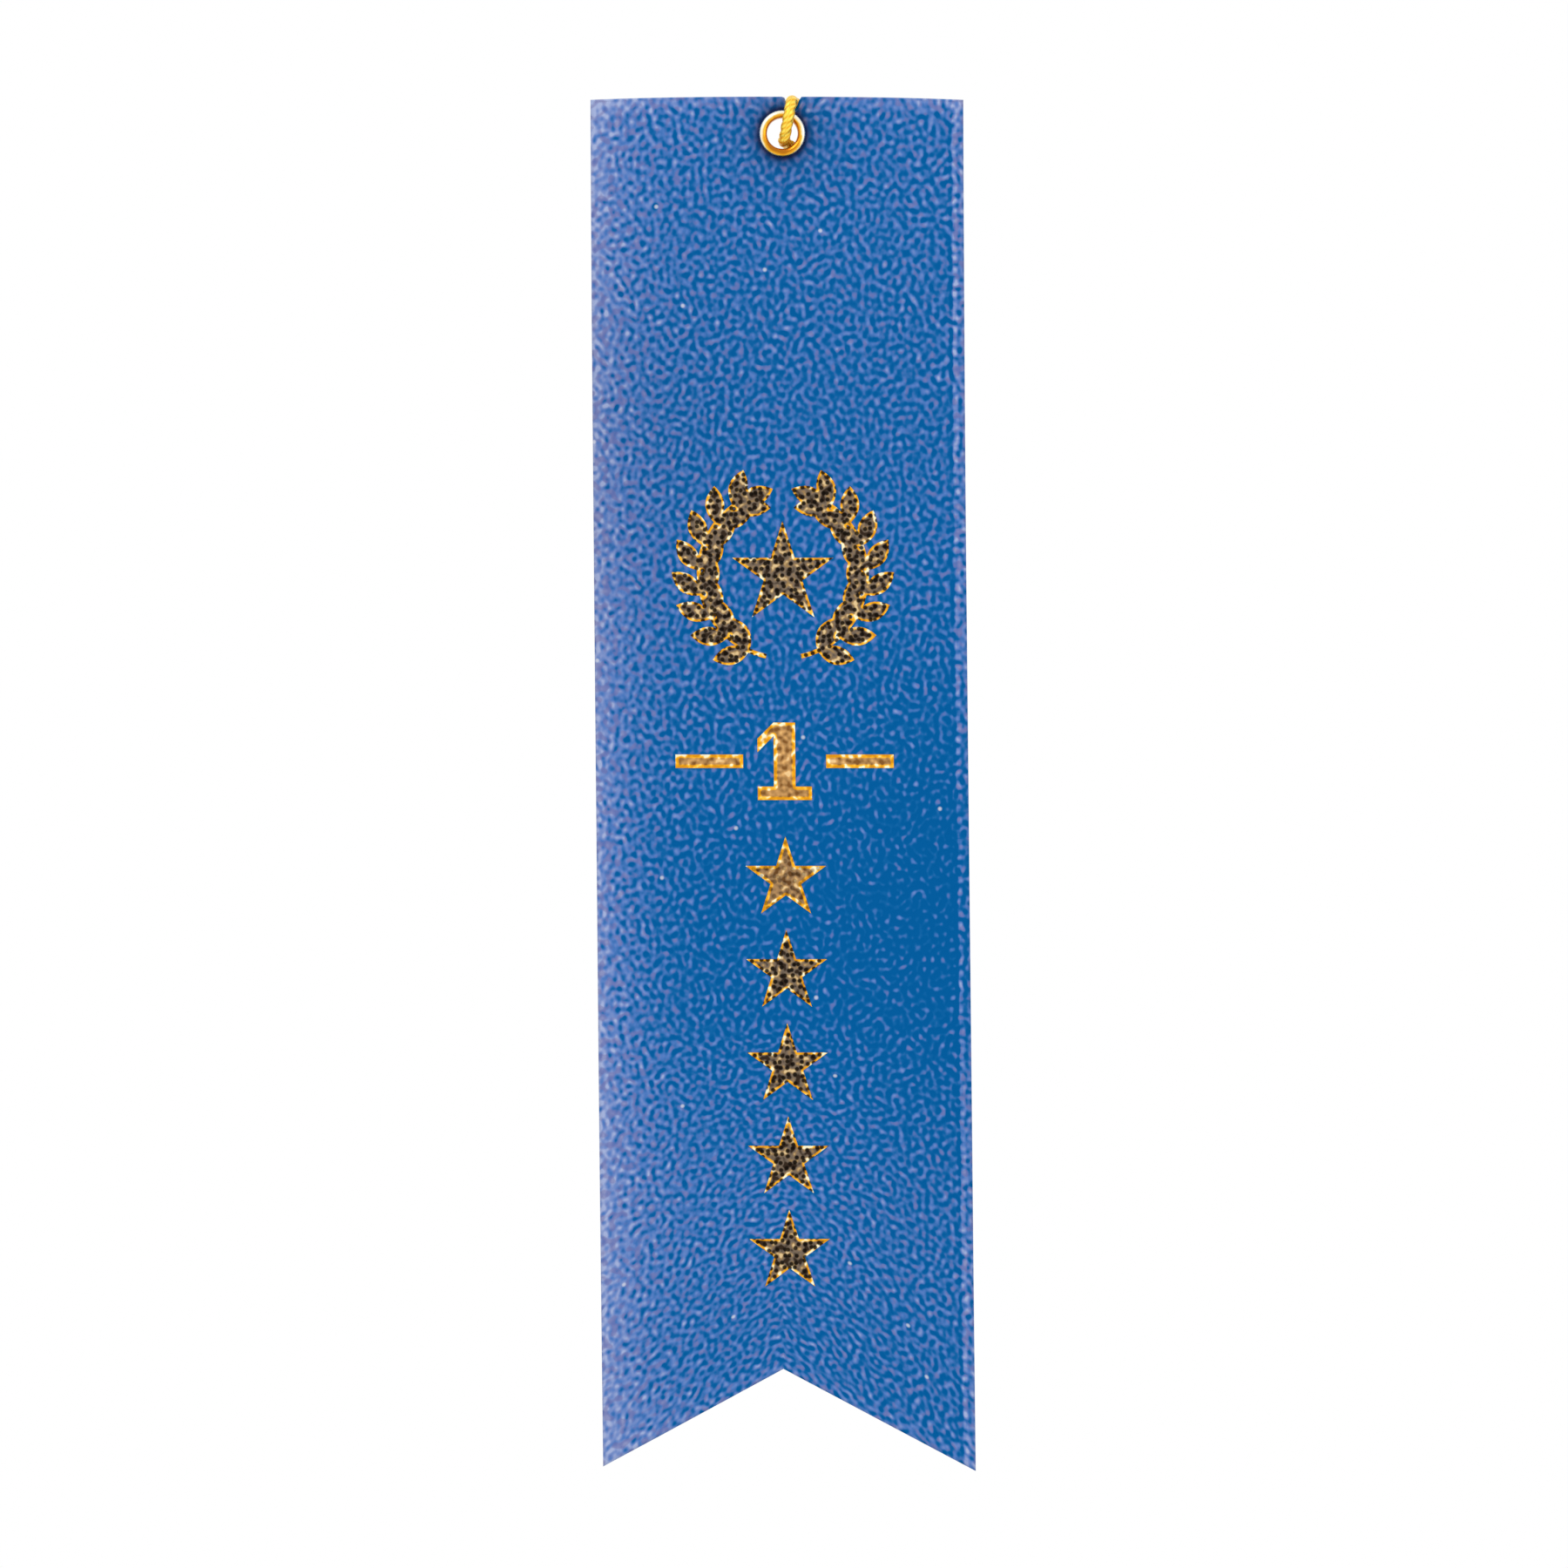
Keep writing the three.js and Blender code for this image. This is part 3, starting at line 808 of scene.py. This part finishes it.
def filled(edges):
    """Points and triangles that fill the outline, with the outline's own lines kept."""
    parts = [
        np.linspace(a, b, max(2, int(np.linalg.norm(b - a) / FINE_STEP) + 2)) for a, b in edges
    ]
    rim = np.concatenate(parts)
    rim, same = np.unique(rim.round(4), axis=0, return_inverse=True)
    same = same.ravel()
    lines, at = [], 0
    for part in parts:
        run = same[at : at + len(part)]
        lines += [(int(a), int(b)) for a, b in zip(run[:-1], run[1:]) if a != b]
        at += len(part)
    low, high = rim.min(axis=0), rim.max(axis=0)
    x, z = np.meshgrid(np.arange(low[0], high[0], FINE_STEP), np.arange(low[1], high[1], FINE_STEP))
    x[::2] += FINE_STEP / 2
    seeds = np.stack([x.ravel(), z.ravel()], axis=1)
    seeds = seeds[inside(seeds, edges)]
    seeds = seeds[gap_to(seeds, edges) > FINE_STEP / 2]
    everything = [Vector(p) for p in np.concatenate([rim, seeds]).tolist()]
    made = geometry.delaunay_2d_cdt(everything, lines, [], 0, 1e-6, False)
    points = np.array([tuple(p) for p in made[0]])
    triangles = np.array(made[2])
    triangles = triangles[inside(points[triangles].mean(axis=1), edges)]
    a, b, c = (points[triangles[:, k]] for k in range(3))
    turn = (b - a)[:, 0] * (c - a)[:, 1] - (b - a)[:, 1] * (c - a)[:, 0]
    triangles[turn < 0] = triangles[turn < 0][:, ::-1]
    return points, triangles


def stamped(name, node):
    """A film on the hanging cloth: front, back and the thin wall between them."""
    edges = front_edges(node)
    points, triangles = filled(edges)
    rim_gap = gap_to(points, edges)
    pressed = 1 - 0.45 * smooth_step(0.05, 0.3, rim_gap)
    x, z = points.T
    front = hang(x, -FOIL_LIFT * pressed, z)
    back = hang(x, np.full(len(x), FOIL_SINK), z)
    count = len(points)
    sides = np.concatenate([triangles[:, [0, 1]], triangles[:, [1, 2]], triangles[:, [2, 0]]])
    key = sides[:, 0] * count + sides[:, 1]
    border = sides[~np.isin(key, sides[:, 1] * count + sides[:, 0])]
    a, b = border.T
    wall = np.stack([b, a, a + count, b + count], axis=1)
    faces = [*triangles.tolist(), *(triangles[:, ::-1] + count).tolist(), *wall.tolist()]
    piece = mesh_piece(name, np.concatenate([front, back]), faces, smooth=False)
    point_value(piece, "rim_gap", np.tile(rim_gap, 2))
    point_value(piece, "painted_reflection_warmth", np.tile(painted_reflection_warmth(z), 2))
    uv_in_mm(piece, np.tile(x, 2) - LEFT, np.tile(z, 2) - FOOT)
    return piece


def painted_reflection_warmth(z):
    """How much painted bright reflection the film gets: full on the numeral and its rules, less on the
    star under them, and little on the wreath and the lower stars."""
    rank = smooth_step(-63, -66, z) * (1 - smooth_step(-74, -80, z) * 0.45)
    return np.clip(rank * (1 - smooth_step(-84, -90, z)), 0.05, 1)


# Node name to a maker's name for the film that stands for it.
FILMS = {
    "foil_star": "film_star",
    "foil_branch_left": "film_left_branch",
    "foil_branch_right": "film_right_branch",
    "foil_numeral": "film_numeral",
    "foil_rule_left": "film_left_rule",
    "foil_rule_right": "film_right_rule",
    **{f"foil_star_{row}": f"film_column_star_{row}" for row in range(1, 6)},
}
films = {node: stamped(name, node) for node, name in FILMS.items()}
print(len(films), "films,", sum(len(f.data.polygons) for f in films.values()), "faces")

# %% [markdown]
# ### Stamped foil, the material
#
# The film is metal, so its colour is the colour of its reflection, and here that reflection is
# painted into it. On the numeral and its rules it is a painted bright reflection, a warm old gold.
# Elsewhere it is a painted dark reflection: it looks smoky brown, with bright flecks where a
# thread carries it and beads of near-black where it tore. The rim along the edge is brightest, a
# painted highlight with cream peaks. Four things are mixed: noise for the tone, cells for the
# beads, the stored distance for the rim, and the stored painted reflection, which weakens the beads.

# %% Gild the foil
FLECK = 0.7  # mm from one change of tone to the next
BEAD = 0.74  # mm from one torn spot to the next


def stamped_gold():
    material, tree, shader = new_material("hot_stamped_gold_foil", Metallic=1.0, Roughness=0.4)
    place = add(tree, "ShaderNodeUVMap", uv_map="surface_mm")
    gap = add(tree, "ShaderNodeAttribute", attribute_name="rim_gap")
    reflection_warmth = add(tree, "ShaderNodeAttribute", attribute_name="painted_reflection_warmth")
    flecks = add(
        tree, "ShaderNodeTexNoise",
        {"Vector": place.outputs[0], "Scale": 1.0 / FLECK, "Detail": 0.7, "Roughness": 0.4},
        noise_dimensions="2D",
    )
    # Painted reflection: a smoky brown ramp for a dark reflection and a warm gold one for a bright
    # reflection, mixed by the stored value.
    dark_reflection_ramp = add(
        tree, "ShaderNodeValToRGB", {"Fac": flecks.outputs["Fac"]},
        stops=[(0.32, "#2E2620"), (0.45, "#6E6256"), (0.55, "#7E6C5A"), (0.64, "#9C7E52"),
               (0.75, "#DCC090")],
    )
    bright_reflection_ramp = add(
        tree, "ShaderNodeValToRGB", {"Fac": flecks.outputs["Fac"]},
        stops=[(0.30, "#84582C"), (0.44, "#A87E4C"), (0.58, "#C4945C"), (0.68, "#D9A867"),
               (0.78, "#ECC890")],
    )
    body = add(
        tree, "ShaderNodeMix",
        {"Factor": reflection_warmth.outputs["Fac"], "A": dark_reflection_ramp.outputs["Color"],
         "B": bright_reflection_ramp.outputs["Color"]},
        data_type="RGBA",
    )
    cells = add(
        tree, "ShaderNodeTexVoronoi",
        {"Vector": place.outputs[0], "Scale": 1 / BEAD, "Randomness": 0.7},
        voronoi_dimensions="2D",
    )
    bead = add(
        tree, "ShaderNodeMapRange",
        {"Value": cells.outputs["Distance"], "From Min": 0.25, "From Max": 0.42, "To Min": 1.0,
         "To Max": 0.0},
    )
    dark_reflection_share = add(
        tree, "ShaderNodeMath", {0: reflection_warmth.outputs["Fac"], 1: -0.95, 2: 1.0},
        operation="MULTIPLY_ADD",
    )
    torn = add(
        tree, "ShaderNodeMath", {0: bead.outputs["Result"], 1: dark_reflection_share.outputs[0]},
        operation="MULTIPLY",
    )
    narrowed = add(
        tree, "ShaderNodeMath", {0: dark_reflection_share.outputs[0], 1: 0.14, 2: gap.outputs["Fac"]},
        operation="MULTIPLY_ADD",
    )
    edge = add(
        tree, "ShaderNodeMath", {0: flecks.outputs["Fac"], 1: -0.3, 2: narrowed.outputs[0]},
        operation="MULTIPLY_ADD",
    )
    # Painted highlight: a brighter rim along the film's edge, rising to cream.
    rim = add(
        tree, "ShaderNodeMapRange",
        {"Value": edge.outputs[0], "From Min": 0.18, "From Max": 0.30, "To Min": 1.0,
         "To Max": 0.0},
    )
    rim_highlight_ramp = add(
        tree, "ShaderNodeValToRGB", {"Fac": flecks.outputs["Fac"]},
        stops=[(0.36, "#DF961A"), (0.52, "#F9B122"), (0.61, "#FFC850"), (0.70, "#FFF2CC")],
    )
    gilt = add(
        tree, "ShaderNodeMix",
        {"Factor": rim.outputs["Result"], "A": body.outputs["Result"],
         "B": rim_highlight_ramp.outputs["Color"]},
        data_type="RGBA",
    )
    beaded = add(
        tree, "ShaderNodeMix",
        {"Factor": torn.outputs[0], "A": gilt.outputs["Result"], "B": linear("#15100C")},
        data_type="RGBA",
    )
    grain = add(
        tree, "ShaderNodeBump",
        {"Height": flecks.outputs["Fac"], "Strength": 0.5, "Distance": 0.08 * MM},
    )
    gloss = add(
        tree, "ShaderNodeMapRange",
        {"Value": flecks.outputs["Fac"], "To Min": 0.25, "To Max": 0.6},
    )
    tree.links.new(beaded.outputs["Result"], shader.inputs["Base Color"])
    tree.links.new(gloss.outputs["Result"], shader.inputs["Roughness"])
    tree.links.new(grain.outputs["Normal"], shader.inputs["Normal"])
    return material


foil_gold = stamped_gold()
for node, film in films.items():
    film.data.materials.append(foil_gold)
    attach(film, "ribbon")
    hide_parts(node)
print("the foil is gilded")

# %% [markdown]
# ## The eyelet
#
# The eyelet starts as a short brass tube with a domed flange. A tool pushes the tube through the
# cloth and rolls its far end over, so that the cloth is clamped between flange and roll. A
# profile carried round the axis gives the ring. The flange is a soft dome with a narrow bead
# round the bore, and the rolled back is split by small creases, as thin metal is when it is
# forced outwards.

# %% Roll the eyelet
RING_STEPS = 120
BORE = 1.7  # mm, all four are radii
BARREL = 2.0
FLANGE = 2.6
CLINCH = 2.45
BACK = high[1] + 0.05  # depth at which the back is rolled
CREASES = 9


def ring_profile():
    """Radius r and depth y, from the bore's back over the flange to the rolled back. The flange
    is half an oval with a bead on its inner side, and the roll is half a smaller oval."""
    turn = np.linspace(np.pi, 2 * np.pi, 25)
    bead = 0.07 * np.exp(-(((turn - np.pi) / np.pi - 0.22) ** 2) / 0.006)
    front_r = (BORE + FLANGE) / 2 + (FLANGE - BORE) / 2 * np.cos(turn)
    front_y = -0.05 + (0.5 + bead) * np.sin(turn)
    seat_r = np.array([2.3, BARREL, BARREL, 2.2])
    seat_y = np.array([-0.03, 0.02, BACK - 0.04, BACK])
    roll = np.linspace(0, np.pi, 19)
    back_r = (BORE + CLINCH) / 2 + (CLINCH - BORE) / 2 * np.cos(roll)
    back_y = BACK + 0.42 * np.sin(roll)
    bore_y = np.linspace(BACK, -0.05, 7)[1:-1]
    r = np.concatenate([front_r, seat_r, back_r, np.full(5, BORE)])
    y = np.concatenate([front_y, seat_y, back_y, bore_y])
    return r, y


def rolled_eyelet():
    """The profile turned about the Y axis, with shallow creases pressed into the rolled back."""
    r, y = ring_profile()
    turn = np.linspace(0, 2 * np.pi, RING_STEPS, endpoint=False)[:, None]
    behind = smooth_step(BACK, BACK + 0.3, y)
    crease = 0.05 * np.clip(np.cos(CREASES * turn), 0, 1) ** 6 * behind
    points = np.stack(
        [(r + 0 * turn) * np.cos(turn), y - crease, (r + 0 * turn) * np.sin(turn)], axis=-1
    )
    count = len(r)
    faces = grid_faces(RING_STEPS, count, around=True)
    first = np.arange(count)
    last = first + (RING_STEPS - 1) * count
    seam = np.stack([last, np.roll(last, -1), np.roll(first, -1), first], axis=1)
    faces = np.concatenate([faces, seam])
    ring = mesh_piece("rolled_eyelet", points.reshape(-1, 3), faces)
    point_value(ring, "radius_mm", np.tile(r, RING_STEPS))
    return ring


eyelet = rolled_eyelet()
print("eyelet:", len(eyelet.data.polygons), "faces")

# %% [markdown]
# ### Brass, the material
#
# The ring is pressed brass under clear lacquer. Its colour carries a painted reflection: the
# dome's outer half is painted a pale, almost white shine, while the bead, the bore and the side
# turned down keep a deep yellow. The stored radius and the height drive that change, and fine
# scratches in the roughness stop the metal from looking like plastic.

# %% Brass, with a painted reflection
def brass_with_painted_reflection():
    material, tree, shader = new_material("pressed_brass", Metallic=1.0, Roughness=0.2)
    place = add(tree, "ShaderNodeTexCoord")
    radius = add(tree, "ShaderNodeAttribute", attribute_name="radius_mm")
    reflection_wobble = add(
        tree, "ShaderNodeTexNoise",
        {"Vector": place.outputs["Object"], "Scale": 1.3 / MM, "Detail": 3.0},
    )
    # Painted reflection: the wider the radius, the paler the brass, with noise to wobble the change.
    painted_reflection_level = add(
        tree, "ShaderNodeMath", {0: reflection_wobble.outputs["Fac"], 1: 0.35, 2: radius.outputs["Fac"]},
        operation="MULTIPLY_ADD",
    )
    parts = add(tree, "ShaderNodeSeparateXYZ", {"Vector": place.outputs["Object"]})
    # Painted reflection: the lower side is kept a deeper yellow.
    lower = add(tree, "ShaderNodeMath", {0: parts.outputs["Z"], 1: 0.0}, operation="MINIMUM")
    painted_reflection_by_height = add(
        tree, "ShaderNodeMath", {0: lower.outputs[0], 1: 0.17 / MM, 2: painted_reflection_level.outputs[0]},
        operation="MULTIPLY_ADD",
    )
    span = add(
        tree, "ShaderNodeMapRange",
        {"Value": painted_reflection_by_height.outputs[0], "From Min": 1.95, "From Max": 2.65},
    )
    tone = add(
        tree, "ShaderNodeValToRGB", {"Fac": span.outputs["Result"]},
        stops=[(0.0, "#B8701C"), (0.22, "#E3991F"), (0.45, "#F4BE42"), (0.62, "#FBEBC2"),
               (1.0, "#FDF8E8")],
    )
    scratch = add(
        tree, "ShaderNodeTexNoise",
        {"Vector": place.outputs["Object"], "Scale": 9 / MM, "Detail": 2.0},
    )
    gloss = add(
        tree, "ShaderNodeMapRange",
        {"Value": scratch.outputs["Fac"], "To Min": 0.12, "To Max": 0.34},
    )
    tree.links.new(tone.outputs["Color"], shader.inputs["Base Color"])
    tree.links.new(gloss.outputs["Result"], shader.inputs["Roughness"])
    return material


eyelet.data.materials.append(brass_with_painted_reflection())
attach(eyelet, "ribbon")
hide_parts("eyelet")
print("the eyelet is in place")

# %% [markdown]
# ## Floor
#
# The ribbon hangs free, so the floor is only a pale disc well below it, out of the main view.

# %% Lay the floor
FLOOR_RADIUS = 320.0
FLOOR_LEVEL = -300.0
FLOOR_CORNERS = 96


def pale_floor():
    """A flat disc: FLOOR_CORNERS points on a circle round the Z axis."""
    turn = np.linspace(0, 2 * np.pi, FLOOR_CORNERS, endpoint=False)
    level = np.full(FLOOR_CORNERS, FLOOR_LEVEL)
    disc = np.stack([FLOOR_RADIUS * np.cos(turn), FLOOR_RADIUS * np.sin(turn), level], axis=1)
    floor = mesh_piece("pale_floor", disc, [list(range(FLOOR_CORNERS))], smooth=False)
    material, tree, shader = new_material("matt_white_board", Roughness=0.9)
    shader.inputs["Base Color"].default_value = linear("#ECECEA")
    floor.data.materials.append(material)
    return floor


pale_floor()
